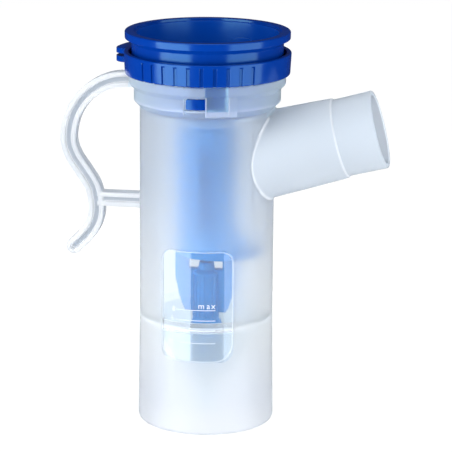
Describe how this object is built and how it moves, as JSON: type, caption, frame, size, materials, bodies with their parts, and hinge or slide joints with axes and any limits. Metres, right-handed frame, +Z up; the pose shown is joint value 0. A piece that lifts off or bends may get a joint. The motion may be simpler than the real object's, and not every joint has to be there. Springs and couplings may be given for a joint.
{
  "type": "jet nebulizer medicine cup",
  "caption": "Upright clear medicine cup with tilted outlet port, hook handle, and a blue bayonet insert with inlet cup, chimney and flow flap over an air jet.",
  "frame": {"origin": "on the standing surface, under the middle of the bounding box; the upright body axis crosses that surface 4.80 mm towards -X", "axes": "+Z up along the body axis, +X towards the outlet port, -X towards the hook handle, -Y towards the reading window and front bayonet lug"},
  "size_m": [0.0932, 0.0468, 0.112],
  "materials": {
    "frosted_clear": "frosted translucent polypropylene",
    "blue_gloss": "glossy moulded royal blue",
    "blue_satin": "satin moulded dark blue",
    "pale_blue": "satin moulded mid blue"
  },
  "bodies": {
    "clear_body": {"body_shell": "frosted_clear", "outlet_port": "frosted_clear", "hook_handle": "frosted_clear", "reservoir_floor": "frosted_clear", "air_jet": "frosted_clear", "hose_spigot": "frosted_clear", "nozzle_sleeve": "blue_satin", "nozzle_wing_left": "blue_satin", "nozzle_wing_right": "blue_satin", "impact_baffle": "blue_satin"},
    "insert": {"insert_cup": "blue_gloss", "chimney_tube": "blue_satin", "droplet_deflector": "blue_satin", "guide_fin_front": "blue_satin", "guide_fin_rear": "blue_satin", "grip_ring": "blue_gloss", "bayonet_lug_front": "blue_gloss", "bayonet_lug_rear": "blue_gloss", "flap_bracket": "blue_gloss", "flap_pin": "blue_satin"},
    "flap": {"flow_flap": "pale_blue"}
  },
  "joints": [
    {"name": "insert_twist", "type": "hinge", "parent": "clear_body", "child": "insert", "pos_m": [-0.0048, 0, 0.095], "axis": [0, 0, 1], "range_deg": [0, 15.6]},
    {"name": "flap_swing", "type": "hinge", "parent": "insert", "child": "flap", "pos_m": [0.0036, 0, 0.105], "axis": [0, 1, 0], "range_deg": [0, 40]}
  ]
}
